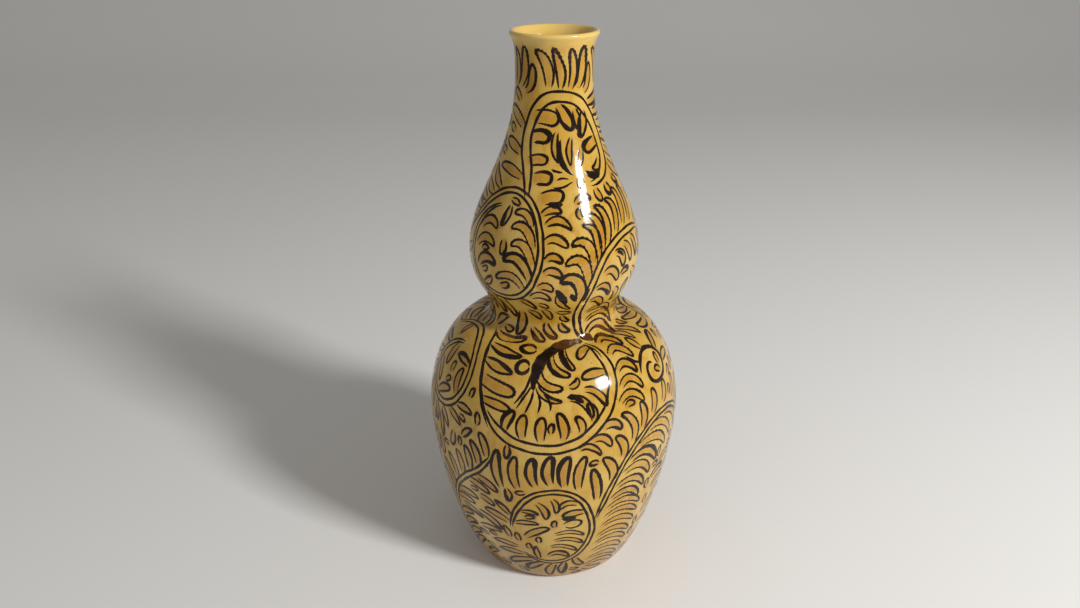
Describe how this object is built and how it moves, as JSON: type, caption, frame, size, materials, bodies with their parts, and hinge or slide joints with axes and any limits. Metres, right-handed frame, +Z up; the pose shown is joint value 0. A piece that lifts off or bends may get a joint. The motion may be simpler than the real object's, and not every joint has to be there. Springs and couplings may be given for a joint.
{
  "type": "bottle vase",
  "caption": "Double gourd bottle vase of glazed clay, with a round lower bulb, a smaller upper bulb and a slim neck with a flared lip.",
  "frame": {"origin": "on the table, at the centre of the foot ring's level underside", "axes": "+Z up along the axis that every piece is turned about; X and Y are level and alike"},
  "size_m": [0.1174, 0.1174, 0.25],
  "materials": {
    "clay": "matte, fired and unglazed",
    "slip": "matte, fired and unglazed",
    "glaze": "glossy amber yellow glaze"
  },
  "bodies": {
    "root": {"foot_ring": "clay", "lower_bulb": "clay", "waist_lute": "slip", "upper_bulb": "clay", "neck_lute": "slip", "neck": "clay", "outer_glaze": "glaze", "inner_glaze": "glaze"}
  },
  "joints": []
}
